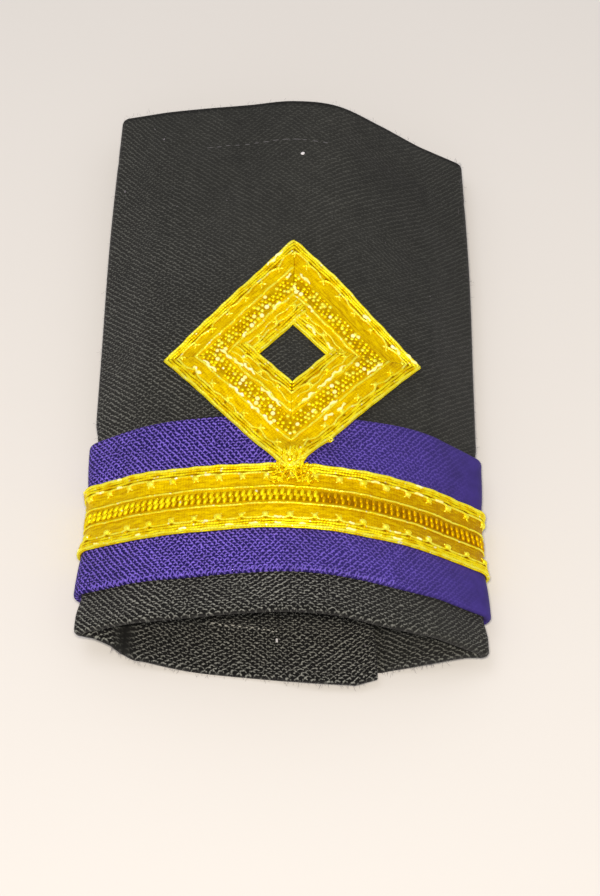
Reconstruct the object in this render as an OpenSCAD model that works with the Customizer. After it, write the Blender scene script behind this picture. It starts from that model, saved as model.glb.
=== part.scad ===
// Slip-on shoulder board: a soft tapering cloth sleeve with a purple band, a gold lace stripe and a
// gold lace diamond. It lies on its back, decorated side up, with the wide mouth towards -Y.

/* [Sleeve] */
// Length of the front, along its middle
sleeve_l = 84; // [70:1:120]
// Width across the folds at the wide mouth
wide_w = 56.8; // [52:0.2:72]
// Width across the folds at the narrow end
narrow_w = 51; // [48:0.2:66]
// Height of the side folds above the table
fold_h = 4.6; // [4.2:0.1:7]
// Rise of the front's bow above the side folds
bow_h = 11.5; // [8:0.5:16]
// Thickness of the black cloth
cloth_t = 1.1; // [1:0.1:1.4]
// Inner radius of the side folds
fold_r = 0.4; // [0.3:0.1:0.8]
// How far the narrow end's left corner lies beyond its middle
narrow_slant = 2.8; // [0:0.1:5]
// How far the wide mouth's right corner lies before its middle
wide_slant = 0.5; // [0:0.1:2]

/* [Lap on the back] */
// Width that the left ply lies over the right one
lap_w = 10.5; // [6:0.5:13]
// How far the back's left ply stands out past the wide mouth
lap_reach = 4.2; // [1:0.2:6]

/* [Purple band] */
// Distance of the band from the wide mouth
band_from = 5.5; // [3:0.5:9]
// Width of the band, along the sleeve
band_w = 24.5; // [22:0.5:30]
// How much wider the band is at its right end than in its middle
band_flare = 0.9; // [0:0.1:2]
// Thickness of the band
band_t = 1; // [0.8:0.1:1.2]
// How far the band goes on under the side folds
band_tuck = 4; // [3.2:0.1:4.2]
// How far the band pulls in each side fold
band_pull = 0.45; // [0:0.05:0.8]

/* [Gold lace] */
// Width of the lace
lace_w = 10; // [7:0.5:12]
// Thickness of the lace
lace_t = 0.6; // [0.4:0.1:0.9]
// Distance of the stripe from the band's near edge
stripe_in = 6.5; // [3:0.5:8]
// How far the stripe goes on under the side folds
stripe_tuck = 2.5; // [1.5:0.1:3]
// How much further the stripe pulls in each side fold
stripe_pull = 0.95; // [0:0.05:1.2]

/* [Gold diamond] */
// Size of the diamond across the sleeve, corner to corner
diamond_across = 36; // [34:0.5:40]
// Size of the diamond along the sleeve, corner to corner
diamond_along = 38.4; // [34:0.2:46]
// How far the diamond's near corner lies over the stripe
diamond_over = 2; // [1:0.1:4]
// Distance of the diamond's middle from the sleeve's middle line, to the right
diamond_x = 0.7; // [-2:0.1:2]

/* [Hidden] */

// Clearances between the layers, under the diamond, and between the two lapped plies
layer_gap = 0.1;
diamond_gap = 0.15;
ply_gap = 0.1;

// Sections at even steps from the wide mouth to the narrow end. TAPER goes from 0, the wide mouth's
// width, to 1, the narrow end's. LEFT and RIGHT are the folds' heights as shares of fold_h. The
// columns from BOW on are the front's height above the folds at even steps across, as shares of bow_h.
TAPER = 0;
LEFT = 1;
RIGHT = 2;
BOW = 3;
sections = [
    [0.00, 1.20, 0.80, 0.42, 0.63, 0.83, 0.97, 0.95, 0.70, 0.47],
    [0.38, 0.96, 0.90, 0.43, 0.66, 0.83, 0.93, 0.90, 0.76, 0.47],
    [0.55, 1.09, 0.88, 0.60, 0.82, 0.94, 1.00, 0.97, 0.87, 0.66],
    [0.67, 1.12, 0.84, 0.45, 0.68, 0.85, 1.00, 0.99, 0.77, 0.47],
    [1.00, 1.18, 0.80, 0.35, 0.57, 0.77, 0.98, 1.00, 0.70, 0.34]
];
// Height at which the bow would meet the folds, as a share of bow_h
bow_foot = 0.08;

// Bends of the back. ACROSS is a share of half the width, UP a share of fold_h, and REACH the share
// of lap_reach by which the wide mouth's edge stands out there.
ACROSS = 0;
UP = 1;
REACH = 2;
left_bends = [
    [-0.44, 0.00, 0.64],
    [-0.75, 0.45, 0.40]
];
right_bends = [
    [0.70, 0.36, 0.21]
];
// The left ply's end: its place across, and the length of its cut corner
lap_across = 0.465;
lap_corner = 3;
lap_end_reach = 0.75;
// The right ply rises from the table just past that end
rise_clear = 0.5;
rise_reach = 0.36;
// The step that the left ply takes down off the right one
step_clear = 0.6;
step_run = 2.4;
step_reach = 0.96;
foot_reach = 0.8;
hidden_reach = 0.46;
// The folds' underside lies a little behind the front's lip, and the back comes forward from there
fold_reach = -0.06;
tuck_reach = 0.25;

// The lace's relief, from one edge to its middle and mirrored from there: edge cords, a flat field
// and a braid. AT is a share of its width, HIGH a share of its thickness.
AT = 0;
HIGH = 1;
half_relief = [[0, 0.6], [0.04, 1], [0.12, 1], [0.17, 0.72], [0.41, 0.72], [0.45, 1]];
relief = concat(
    half_relief,
    [for (i = [len(half_relief) - 1:-1:0]) [1 - half_relief[i][AT], half_relief[i][HIGH]]]
);

// How finely the sleeve is divided
rib_count = 26;
fold_steps = 7;
bow_steps = 14;
side_steps = 14;
row_clear = 0.5;
// Where the drawn bow starts and ends, as a share of half the width
bow_end = 0.75;

fold_mid_r = fold_r + cloth_t / 2;
fold_out_r = fold_r + cloth_t;
band_out = cloth_t / 2 + layer_gap;
stripe_out = band_out + band_t + layer_gap;
diamond_out = cloth_t / 2 + diamond_gap;
band_to = band_from + band_w;
stripe_from = band_from + stripe_in;
stripe_to = stripe_from + lace_w;
diamond_s = stripe_to - diamond_over + diamond_along / 2;

// How gently the folds go in beside the band, and how much of the stripe's width feels its pull
pull_run = 3;
pull_share = 0.53;

// How the diamond climbs onto the band and the stripe: level until this far from the edge, then down
climb_level = 1.6;
climb_run = 2.4;

// Smooth curve through the evenly spaced numbers in list, at place x counted in steps
function smooth_at(list, x) = let (
        last = len(list) - 1,
        i = min(max(floor(x), 0), last - 1),
        f = x - i,
        b = list[i],
        c = list[i + 1],
        a = i > 0 ? list[i - 1] : 2 * b - c,
        d = i < last - 1 ? list[i + 2] : 2 * c - b
    )
    (2 * b + (c - a) * f + (2 * a - 5 * b + 4 * c - d) * f * f + (3 * b - a - 3 * c + d) * f * f * f) / 2;
function ease(x) = let (c = min(max(x, 0), 1)) c * c * (3 - 2 * c);
function mix(a, b, f) = a + (b - a) * f;
function toward(p, q, distance) = p + (q - p) * distance / norm(q - p);

function section_value(column, t) = smooth_at([for (row = sections) row[column]], t * (len(sections) - 1));
function pull_in(s) =
    band_pull * ease((s - band_from) / pull_run + 1) * ease((band_to - s) / pull_run + 1)
    + stripe_pull * exp(-pow((s - stripe_from - lace_w / 2) / (pull_share * lace_w), 2));
function half_w(t) = mix(wide_w, narrow_w, section_value(TAPER, t)) / 2 - pull_in(t * sleeve_l);
function left_h(t) = fold_h * section_value(LEFT, t);
function right_h(t) = fold_h * section_value(RIGHT, t);
function bow_heights(t) =
    [bow_foot, for (c = [BOW:len(sections[0]) - 1]) section_value(c, t), bow_foot];

// Middle of the front's cloth at share u of half the width
function front_at(t, heights, u) =
    [u * half_w(t), mix(left_h(t), right_h(t), (u + 1) / 2)
        + bow_h * smooth_at(heights, (u + 1) / 2 * (len(heights) - 1)) - cloth_t / 2];

// Points round a fold, clockwise, from where the cloth comes in from p to where it leaves for q
function bearing(c, p) = atan2(p.y - c.y, p.x - c.x);
function tangent_turn(c, p, r) = acos(r / norm(p - c));
function fold_points(c, r, p, q) = let (
        start = bearing(c, p) - tangent_turn(c, p, r),
        stop = bearing(c, q) + tangent_turn(c, q, r),
        turn = (start - stop) - 360 * floor((start - stop) / 360)
    )
    [for (i = [0:fold_steps]) let (a = start - turn * i / fold_steps) c + r * [cos(a), sin(a)]];

// Middle line of the cloth in the section at t, as [x, z, reach]: from the left ply's end, over the
// lap, round the left fold, over the front, round the right fold and back to the right ply's end.
function with_reach(points, from, to) =
    [for (i = [0:len(points) - 1]) [points[i].x, points[i].y, mix(from, to, i / max(1, len(points) - 1))]];
function rib(t) = let (
        w = half_w(t),
        low = cloth_t / 2,
        high = low + cloth_t + ply_gap,
        lap_end = lap_across * w,
        hidden_end = lap_end - lap_w,
        step_top = hidden_end - step_clear,
        bends = [for (b = left_bends) [b[ACROSS] * w, low + b[UP] * fold_h]],
        crease = bends[len(bends) - 1],
        flanks = [for (b = right_bends) [b[ACROSS] * w, low + b[UP] * fold_h]],
        flank = flanks[0],
        heights = bow_heights(t),
        front = [for (i = [0:bow_steps]) front_at(t, heights, mix(-bow_end, bow_end, i / bow_steps))],
        left = fold_points([fold_out_r - w, left_h(t)], fold_mid_r, crease, front[0]),
        right = fold_points([w - fold_out_r, right_h(t)], fold_mid_r, front[bow_steps], flank),
        left_tucks = [for (tuck = [band_tuck, stripe_tuck]) toward(left[0], crease, tuck)],
        right_tucks = [for (tuck = [stripe_tuck, band_tuck]) toward(right[fold_steps], flank, tuck)]
    )
    concat(
        [[lap_end, high, lap_end_reach], [lap_end - lap_corner, high, 1]],
        [[step_top, high, step_reach], [step_top - step_run, low, foot_reach]],
        [for (i = [0:len(bends) - 1]) [bends[i].x, bends[i].y, left_bends[i][REACH]]],
        with_reach(left_tucks, tuck_reach * left_bends[len(left_bends) - 1][REACH], fold_reach),
        with_reach(left, fold_reach, 0),
        with_reach(front, 0, 0),
        with_reach(right, 0, fold_reach),
        with_reach(right_tucks, fold_reach, tuck_reach * right_bends[0][REACH]),
        [for (i = [0:len(flanks) - 1]) [flanks[i].x, flanks[i].y, right_bends[i][REACH]]],
        [[lap_end + rise_clear, low, rise_reach], [hidden_end, low, hidden_reach]]
    );

ribs = [for (k = [0:rib_count]) rib(k / rib_count)];
last_j = len(ribs[0]) - 1;
// Places on a rib: the band's first and last point, the stripe's, and the front's first
band_j = 4 + len(left_bends);
band_last_j = last_j - 2 - len(right_bends);
stripe_j = band_j + 1;
stripe_last_j = band_last_j - 1;
front_j = stripe_j + 1 + fold_steps + 1;

// Outward direction at each point of a rib, long enough to keep the cloth's thickness round a bend
function side_of(r, i) = let (d = [r[i + 1].x - r[i].x, r[i + 1].y - r[i].y]) [-d.y, d.x] / norm(d);
function outward(r, i) = let (m = side_of(r, max(i - 1, 0)) + side_of(r, min(i, last_j - 1)))
    2 * m / (m * m);
normals = [for (r = ribs) [for (i = [0:last_j]) outward(r, i)]];

// The two mouths' edges along Y, one value for each point of a rib
wide_y = [for (p = ribs[0]) -wide_slant * p.x / half_w(0) - lap_reach * p.z];
narrow_y = [for (p = ribs[rib_count]) sleeve_l - narrow_slant * p.x / half_w(1)];
middle_y = (min(wide_y) + max(narrow_y)) / 2;

// Value between four neighbours of a grid, at t along the sleeve and place j on the ribs
function grid_at(grid, t, j) = let (
        k = min(floor(t * rib_count), rib_count - 1),
        i = min(floor(j), last_j - 1),
        near = mix(grid[k][i], grid[k][i + 1], j - i),
        far = mix(grid[k + 1][i], grid[k + 1][i + 1], j - i)
    )
    mix(near, far, t * rib_count - k);
function edge_at(edge, j) = let (i = min(floor(j), last_j - 1)) mix(edge[i], edge[i + 1], j - i);

// A point that lies off the cloth's middle by off, outwards
function cloth_point(t, j, off) = let (p = grid_at(ribs, t, j), n = grid_at(normals, t, j))
    [p.x + n.x * off, mix(edge_at(wide_y, j), edge_at(narrow_y, j), t) - middle_y, p.y + n.y * off];

// Share of the length at distance s from the wide mouth, for point j of the ribs
function across_at(j) = ribs[0][j].x / half_w(0);
function along(s, j, flare = 0) = (s + flare * across_at(j)) / sleeve_l;

// Solid between two grids of points. When round is true each row closes on itself.
module layer(top, bottom, round = false) {
    rows = len(top);
    cols = len(top[0]);
    under = rows * cols;
    steps = round ? cols : cols - 1;
    points = concat([for (row = top) each row], [for (row = bottom) each row]);
    quads = concat(
        [for (i = [0:rows - 2], j = [0:steps - 1]) let (a = i * cols, b = (j + 1) % cols)
            [a + j, a + cols + j, a + cols + b, a + b]],
        [for (i = [0:rows - 2], j = [0:steps - 1]) let (a = under + i * cols, b = (j + 1) % cols)
            [a + j, a + b, a + cols + b, a + cols + j]],
        [for (j = [0:steps - 1]) let (b = (j + 1) % cols) [j, b, under + b, under + j]],
        [for (j = [0:steps - 1]) let (a = (rows - 1) * cols, b = (j + 1) % cols)
            [a + b, a + j, under + a + j, under + a + b]],
        round ? [] : [for (i = [0:rows - 2]) let (a = i * cols, b = a + cols)
            [b, a, under + a, under + b]],
        round ? [] : [for (i = [0:rows - 2]) let (a = (i + 1) * cols - 1, b = a + cols)
            [a, b, under + b, under + a]]
    );
    polyhedron(points, [for (q = quads) each [[q[0], q[1], q[2]], [q[0], q[2], q[3]]]], convexity = 6);
}

// The black cloth, wrapped into an open sleeve
module cloth_sleeve() {
    color("#393837")
        layer(
            [for (k = [0:rib_count]) [for (j = [0:last_j]) cloth_point(k / rib_count, j, cloth_t / 2)]],
            [for (k = [0:rib_count]) [for (j = [0:last_j]) cloth_point(k / rib_count, j, -cloth_t / 2)]]
        );
}

// The purple band, with a row of points over each rib that it crosses well clear of its edges
module purple_band() {
    inside = [for (k = [0:rib_count]) let (s = k / rib_count * sleeve_l)
        if (s > band_from + row_clear && s < band_to - band_flare - row_clear) s / sleeve_l];
    rows = len(inside) + 2;
    function row_t(i, j) = i == 0 ? along(band_from, j)
        : i == rows - 1 ? along(band_to, j, band_flare)
        : inside[i - 1];
    color("#4a2e8f")
        layer(
            [for (i = [0:rows - 1]) [for (j = [band_j:band_last_j])
                cloth_point(row_t(i, j), j, band_out + band_t)]],
            [for (i = [0:rows - 1]) [for (j = [band_j:band_last_j])
                cloth_point(row_t(i, j), j, band_out)]]
        );
}

// The stripe of lace on the band
module gold_stripe() {
    function row_t(r, j) = along(stripe_from + r[AT] * lace_w, j);
    color("#e8b800")
        layer(
            [for (r = relief) [for (j = [stripe_j:stripe_last_j])
                cloth_point(row_t(r, j), j, stripe_out + r[HIGH] * lace_t)]],
            [for (r = relief) [for (j = [stripe_j:stripe_last_j])
                cloth_point(row_t(r, j), j, stripe_out)]]
        );
}

// Place on the front at distance a from its middle line, measured over the bow. The front's own
// lengths are summed from its left end.
function total(list, last) = last < 0 ? 0 : list[last] + total(list, last - 1);
function front_j_at(t, a) = let (
        p = [for (i = [0:bow_steps]) grid_at(ribs, t, front_j + i)],
        step = [0, for (i = [1:bow_steps]) norm([p[i].x - p[i - 1].x, p[i].y - p[i - 1].y])],
        run = [for (i = [0:bow_steps]) total(step, i)],
        middle = lookup(0, [for (i = [0:bow_steps]) [p[i].x, run[i]]])
    )
    lookup(a, [for (i = [0:bow_steps]) [run[i] - middle, front_j + i]]);
// A point of the diamond, at s from the wide mouth and lying high above its underside
function t_at(s, j) = (s - edge_at(wide_y, j)) / (edge_at(narrow_y, j) - edge_at(wide_y, j));
function lace_point(a, s, high) = let (
        guess = front_j_at(s / sleeve_l, a),
        j = front_j_at(t_at(s, guess), a),
        t = t_at(s, j),
        on_band = ease((band_to + band_flare + climb_level + climb_run - s) / climb_run),
        on_stripe = ease((stripe_to + climb_level + climb_run - s) / climb_run)
    )
    cloth_point(t, j, diamond_out + on_band * (band_t + layer_gap) + on_stripe * (lace_t + layer_gap) + high);

// The diamond: one width of lace turned at four corners round an open middle
module gold_diamond() {
    across = diamond_across / 2;
    up = diamond_along / 2;
    corners = [[0, up], [across, 0], [0, -up], [-across, 0]];
    inner_r = across * up / norm([across, up]);
    hole = (inner_r - lace_w) / inner_r;
    function outline(share) = [for (c = [0:3], i = [0:side_steps - 1])
        mix(hole, 1, share) * mix(corners[c], corners[(c + 1) % 4], i / side_steps)];
    color("#e8b800")
        layer(
            [for (r = relief)
                [for (p = outline(r[AT])) lace_point(diamond_x + p.x, diamond_s + p.y, r[HIGH] * lace_t)]],
            [for (r = relief) [for (p = outline(r[AT])) lace_point(diamond_x + p.x, diamond_s + p.y, 0)]],
            round = true
        );
}

cloth_sleeve();
purple_band();
gold_stripe();
gold_diamond();
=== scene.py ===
# Slip-on shoulder board, lying on its back: black cloth sleeve, purple band, gold lace
import math
from functools import partial
import bpy
import numpy as np
from mathutils import Matrix, Vector


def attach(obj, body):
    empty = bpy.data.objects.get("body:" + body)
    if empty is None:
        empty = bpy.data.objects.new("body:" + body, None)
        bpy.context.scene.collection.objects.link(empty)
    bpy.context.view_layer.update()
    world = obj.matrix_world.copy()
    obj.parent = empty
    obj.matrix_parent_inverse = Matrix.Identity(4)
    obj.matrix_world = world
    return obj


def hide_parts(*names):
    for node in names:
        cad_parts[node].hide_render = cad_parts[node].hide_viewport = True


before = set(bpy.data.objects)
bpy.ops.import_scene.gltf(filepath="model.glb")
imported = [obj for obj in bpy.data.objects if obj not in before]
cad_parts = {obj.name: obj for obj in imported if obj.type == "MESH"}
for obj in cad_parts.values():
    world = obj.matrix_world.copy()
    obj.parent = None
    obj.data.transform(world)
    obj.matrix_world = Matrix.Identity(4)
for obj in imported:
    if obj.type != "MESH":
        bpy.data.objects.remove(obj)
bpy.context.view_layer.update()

MM = 0.001
TURN = 2 * math.pi

# Sizes in millimetres, repeated from part.scad
SLEEVE_L = 84.0
WIDE_W = 56.8
NARROW_W = 51.0
FOLD_H = 4.6
BOW_H = 11.5
CLOTH_T = 1.1
FOLD_R = 0.4
NARROW_SLANT = 2.8
WIDE_SLANT = 0.5
LAP_W = 10.5
LAP_REACH = 4.2
BAND_FROM = 5.5
BAND_W = 24.5
BAND_FLARE = 0.9
BAND_T = 1.0
BAND_TUCK = 4.0
BAND_PULL = 0.45
LACE_W = 10.0
LACE_T = 0.6
STRIPE_IN = 6.5
STRIPE_TUCK = 2.5
STRIPE_PULL = 0.95
DIAMOND_ACROSS = 36.0
DIAMOND_ALONG = 38.4
DIAMOND_OVER = 2.0
DIAMOND_X = 0.7
LAYER_GAP = 0.1
DIAMOND_GAP = 0.15
PLY_GAP = 0.1
BAND_TO = BAND_FROM + BAND_W
STRIPE_FROM = BAND_FROM + STRIPE_IN
STRIPE_TO = STRIPE_FROM + LACE_W
DIAMOND_S = STRIPE_TO - DIAMOND_OVER + DIAMOND_ALONG / 2
BAND_OUT = CLOTH_T / 2 + LAYER_GAP
STRIPE_OUT = BAND_OUT + BAND_T + LAYER_GAP
DIAMOND_OUT = CLOTH_T / 2 + DIAMOND_GAP

# The lace across its width: edge cords, couched thread and knots, ridges, and its braid
CORDS = (0.22, 0.60, 0.98)
CORD_R, CORD_HIGH = 0.18, 0.40
LOW_CORD_AT, LOW_CORD_R, LOW_CORD_HIGH = 0.10, 0.15, 0.16
COUCH_AT, COUCH_R = 1.47, 0.17
KNOT_STEP, KNOT_FIRST, KNOT_HIGH = 3.3, 1.3, 0.46
SPUR_R = 0.13
RIDGE_AT, RIDGE_R, RIDGE_HIGH = 3.7, 0.15, 0.42
LINK_STEP, LINK_OUT = 0.90, 0.37
BEAD_STEP, BRAID_HIGH = 0.72, 0.36
DASH_R, DASH_HIGH, GLINT_HIGH = 0.17, 0.52, 0.53
# Length of one straight piece of a drawn thread
THREAD_STEP = 0.25

# Sections from the wide mouth to the narrow end: taper, left and right fold heights, the bow's heights
SECTIONS = np.array([
    [0.00, 1.20, 0.80, 0.42, 0.63, 0.83, 0.97, 0.95, 0.70, 0.47],
    [0.38, 0.96, 0.90, 0.43, 0.66, 0.83, 0.93, 0.90, 0.76, 0.47],
    [0.55, 1.09, 0.88, 0.60, 0.82, 0.94, 1.00, 0.97, 0.87, 0.66],
    [0.67, 1.12, 0.84, 0.45, 0.68, 0.85, 1.00, 0.99, 0.77, 0.47],
    [1.00, 1.18, 0.80, 0.35, 0.57, 0.77, 0.98, 1.00, 0.70, 0.34],
])
BOW_FOOT = 0.08
# Bends of the back: place across, height, and how far the mouth's edge stands out there
LEFT_BENDS = [(-0.44, 0.0, 0.64), (-0.75, 0.45, 0.40)]
RIGHT_BENDS = [(0.70, 0.36, 0.21)]
LAP_ACROSS = 0.465
LAP_CORNER = 3.0
LAP_END_REACH = 0.75
RISE_CLEAR = 0.5
RISE_REACH = 0.36
STEP_CLEAR = 0.6
STEP_RUN = 2.4
STEP_REACH = 0.96
FOOT_REACH = 0.8
HIDDEN_REACH = 0.46
FOLD_REACH = -0.06
TUCK_REACH = 0.25
BOW_END = 0.75
PULL_RUN = 3.0
PULL_SHARE = 0.53
CLIMB_LEVEL = 1.6
CLIMB_RUN = 2.4
FOLD_MID_R = FOLD_R + CLOTH_T / 2
FOLD_OUT_R = FOLD_R + CLOTH_T


# Curves of the sleeve, the same as in part.scad but drawn finer
def smooth_at(columns, x):
    """Smooth curve through evenly spaced values, read at x steps; columns hold one value a step"""
    last = len(columns) - 1
    i = np.clip(np.floor(x).astype(int), 0, last - 1)
    f = x - i
    b, c = columns[i], columns[i + 1]
    a = np.where(i > 0, columns[np.maximum(i - 1, 0)], 2 * b - c)
    d = np.where(i < last - 1, columns[np.minimum(i + 2, last)], 2 * c - b)
    return (2 * b + (c - a) * f + (2 * a - 5 * b + 4 * c - d) * f ** 2
            + (3 * b - a - 3 * c + d) * f ** 3) / 2


def ease(x):
    c = np.clip(x, 0, 1)
    return c * c * (3 - 2 * c)


def mix(a, b, f):
    return a + (b - a) * f


def section_value(column, t):
    return smooth_at(SECTIONS[:, column], t * (len(SECTIONS) - 1))


def half_width(t):
    s = t * SLEEVE_L
    pull = (BAND_PULL * ease((s - BAND_FROM) / PULL_RUN + 1) * ease((BAND_TO - s) / PULL_RUN + 1)
            + STRIPE_PULL * np.exp(-((s - STRIPE_FROM - LACE_W / 2) / (PULL_SHARE * LACE_W)) ** 2))
    return mix(WIDE_W, NARROW_W, section_value(0, t)) / 2 - pull


def fold_arc(centre, start_from, leave_to, steps):
    """Points round a side fold, from where the cloth comes in to where it leaves"""
    def bearing(p):
        return np.arctan2(p[1] - centre[1], p[0] - centre[0])

    def spread(p):
        return np.arccos(FOLD_MID_R / np.hypot(p[0] - centre[0], p[1] - centre[1]))
    start = bearing(start_from) - spread(start_from)
    turn = (start - bearing(leave_to) - spread(leave_to)) % TURN
    return [(centre[0] + FOLD_MID_R * np.cos(start - turn * i / steps),
             centre[1] + FOLD_MID_R * np.sin(start - turn * i / steps)) for i in range(steps + 1)]


def toward(p, q, distance):
    f = distance / np.hypot(q[0] - p[0], q[1] - p[1])
    return (p[0] + (q[0] - p[0]) * f, p[1] + (q[1] - p[1]) * f)


FOLD_STEPS = 14
BOW_STEPS = 60


def rib_lines(t):
    """The cloth's middle line at each t: columns of x and z, each column's reach, and named columns.
    A stop is a corner of that line, its reach, and the number of columns from it to the next one"""
    w = half_width(t)
    low = CLOTH_T / 2 + 0 * w
    high = low + CLOTH_T + PLY_GAP
    left_h, right_h = FOLD_H * section_value(1, t), FOLD_H * section_value(2, t)
    lap_end = LAP_ACROSS * w
    hidden_end = lap_end - LAP_W
    step_top = hidden_end - STEP_CLEAR
    heights = np.array([BOW_FOOT + 0 * w] + [section_value(c, t) for c in range(3, 10)]
                       + [BOW_FOOT + 0 * w])
    front = []
    for i in range(BOW_STEPS + 1):
        u = mix(-BOW_END, BOW_END, i / BOW_STEPS)
        bow = smooth_at(heights, np.array((u + 1) / 2 * (len(heights) - 1)))
        front.append((u * w, mix(left_h, right_h, (u + 1) / 2) + BOW_H * bow - CLOTH_T / 2))
    bends = [(across * w, low + up * FOLD_H) for across, up, reach in LEFT_BENDS]
    flanks = [(across * w, low + up * FOLD_H) for across, up, reach in RIGHT_BENDS]
    left = fold_arc((FOLD_OUT_R - w, left_h), bends[-1], front[0], FOLD_STEPS)
    right = fold_arc((w - FOLD_OUT_R, right_h), front[-1], flanks[0], FOLD_STEPS)
    left_reach = TUCK_REACH * LEFT_BENDS[-1][2]
    right_reach = TUCK_REACH * RIGHT_BENDS[0][2]
    stops = [((lap_end, high), LAP_END_REACH, 4), ((lap_end - LAP_CORNER, high), 1.0, 10),
             ((step_top, high), STEP_REACH, 6), ((step_top - STEP_RUN, low), FOOT_REACH, 9)]
    stops += [(p, bend[2], 9) for p, bend in zip(bends, LEFT_BENDS)]
    marks = {"band": len(stops)}
    stops += [(toward(left[0], bends[-1], BAND_TUCK), left_reach, 3),
              (toward(left[0], bends[-1], STRIPE_TUCK), FOLD_REACH, 5)]
    stops += [(p, FOLD_REACH * (1 - i / FOLD_STEPS), 1) for i, p in enumerate(left[:-1])]
    stops += [(left[-1], 0.0, 8)]
    stops += [(p, 0.0, 1) for p in front[:-1]] + [(front[-1], 0.0, 8)]
    stops += [(p, FOLD_REACH * i / FOLD_STEPS, 1) for i, p in enumerate(right[:-1])]
    stops += [(right[-1], FOLD_REACH, 5)]
    marks["stripe_end"] = len(stops)
    stops += [(toward(right[-1], flanks[0], STRIPE_TUCK), FOLD_REACH, 3),
              (toward(right[-1], flanks[0], BAND_TUCK), right_reach, 6)]
    stops += [(p, bend[2], 16) for p, bend in zip(flanks, RIGHT_BENDS)]
    stops += [((lap_end + RISE_CLEAR, low), RISE_REACH, 12), ((hidden_end, low), HIDDEN_REACH, 1)]
    points, reaches, place = [], [], []
    for (here, reach, steps), (after, reach_after, _) in zip(stops, stops[1:] + stops[-1:]):
        place.append(len(points))
        for k in range(steps):
            points.append([mix(p, q, k / steps) for p, q in zip(here, after)])
            reaches.append(mix(reach, reach_after, k / steps))
    x, z = np.array(points).transpose(1, 2, 0)
    columns = {"band": place[marks["band"]], "stripe": place[marks["band"] + 1],
               "stripe_end": place[marks["stripe_end"]], "band_end": place[marks["stripe_end"] + 1],
               "foot": place[2]}
    return x, z, np.array(reaches), columns


ROWS = 141
row_t = np.linspace(0, 1, ROWS)
rib_x, rib_z, rib_reach, COLUMN = rib_lines(row_t)
LAST = rib_x.shape[1] - 1
wide_edge = -WIDE_SLANT * rib_x[0] / half_width(np.array(0.0)) - LAP_REACH * rib_reach
narrow_edge = SLEEVE_L - NARROW_SLANT * rib_x[-1] / half_width(np.array(1.0))
MIDDLE_Y = (wide_edge.min() + narrow_edge.max()) / 2


def soften(values, first, last, passes):
    """Round the bends between two columns, ends held"""
    for _ in range(passes):
        inner = (values[..., first - 1:last - 1] + 2 * values[..., first:last]
                 + values[..., first + 1:last + 1]) / 4
        values[..., first:last] = inner


for grid in (rib_x, rib_z):
    soften(grid, COLUMN["foot"] - 2, COLUMN["band"], 10)
    soften(grid, COLUMN["band_end"] + 1, LAST - 14, 10)
soften(wide_edge, COLUMN["foot"] - 2, COLUMN["band"] + 5, 20)
soften(wide_edge, COLUMN["band_end"] - 4, LAST - 11, 20)

# Outward directions in each section
run_x, run_z = np.gradient(rib_x, axis=1), np.gradient(rib_z, axis=1)
run = np.hypot(run_x, run_z)
out_x, out_z = -run_z / run, run_x / run


def length_along(points):
    """Distance from the first point along each row of points"""
    steps = np.linalg.norm(np.diff(points, axis=-2), axis=-1)
    return np.insert(np.cumsum(steps, axis=-1), 0, 0, axis=-1)


def front_length(x, z):
    """Length along each section, counted from the front's middle"""
    length = length_along(np.stack([x, z], -1))
    front = slice(COLUMN["stripe"], COLUMN["stripe_end"])
    return length - np.array([[np.interp(0, x[k, front], length[k, front])] for k in range(ROWS)])


# The front's cloth isn't quite even: shallow waves, gone at the folds and mouths
arc = front_length(rib_x, rib_z)
row_s = row_t[:, None] * SLEEVE_L
waves = (0.10 * np.sin(arc * 0.33 + row_s * 0.13 + 1.0) * np.sin(row_s * 0.21 - arc * 0.07)
         + 0.07 * np.sin(arc * 0.61 - row_s * 0.34 + 2.1) + 0.05 * np.sin(row_s * 0.83 + arc * 0.19))
waves *= ease((27 - np.abs(arc)) / 6) * ease(row_s / 8) * ease((SLEEVE_L - row_s) / 8)
# A tight crease in the back, inside the left of the mouth
CREASE_COLUMN, CREASE_DEEP, CREASE_L = 37.2, 0.45, 16.0
crease_a = np.interp(CREASE_COLUMN, np.arange(LAST + 1), arc[ROWS // 2])
waves += (CREASE_DEEP * np.exp(-((np.arange(LAST + 1) - CREASE_COLUMN) / 1.1) ** 2)
          * (1 - ease(row_s / CREASE_L)))
rib_x += out_x * waves
rib_z += out_z * waves


def read_grid(grid, rows, columns):
    r = np.clip(np.floor(rows).astype(int), 0, grid.shape[0] - 2)
    c = np.clip(np.floor(columns).astype(int), 0, grid.shape[1] - 2)
    fr, fc = rows - r, columns - c
    return mix(mix(grid[r, c], grid[r, c + 1], fc), mix(grid[r + 1, c], grid[r + 1, c + 1], fc), fr)


def read_edge(edge, columns):
    return np.interp(columns, np.arange(LAST + 1), edge)


def cloth_point(t, column, off):
    """Point at share t of the length, off millimetres outside the cloth's middle"""
    rows = t * (ROWS - 1)
    x = read_grid(rib_x, rows, column) + off * read_grid(out_x, rows, column)
    z = read_grid(rib_z, rows, column) + off * read_grid(out_z, rows, column)
    y = mix(read_edge(wide_edge, column), read_edge(narrow_edge, column), t) - MIDDLE_Y
    return np.stack([x, y, z], -1)


# Columns at even distances over the front, for the cloth's middle and for the stripe's own level
TABLE_STEP = 0.25


def even_columns(off, reach):
    steps = np.arange(-reach, reach + 0.01, TABLE_STEP)
    lengths = front_length(rib_x + off * out_x, rib_z + off * out_z)
    return np.array([np.interp(steps, length, np.arange(LAST + 1)) for length in lengths])


FRONT_REACH, STRIPE_REACH = 34.0, 40.0
front_columns = even_columns(0, FRONT_REACH)
stripe_columns = even_columns(STRIPE_OUT, STRIPE_REACH)


def column_at(table, reach, t, a):
    return read_grid(table, t * (ROWS - 1), (a + reach) / TABLE_STEP)


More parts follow.
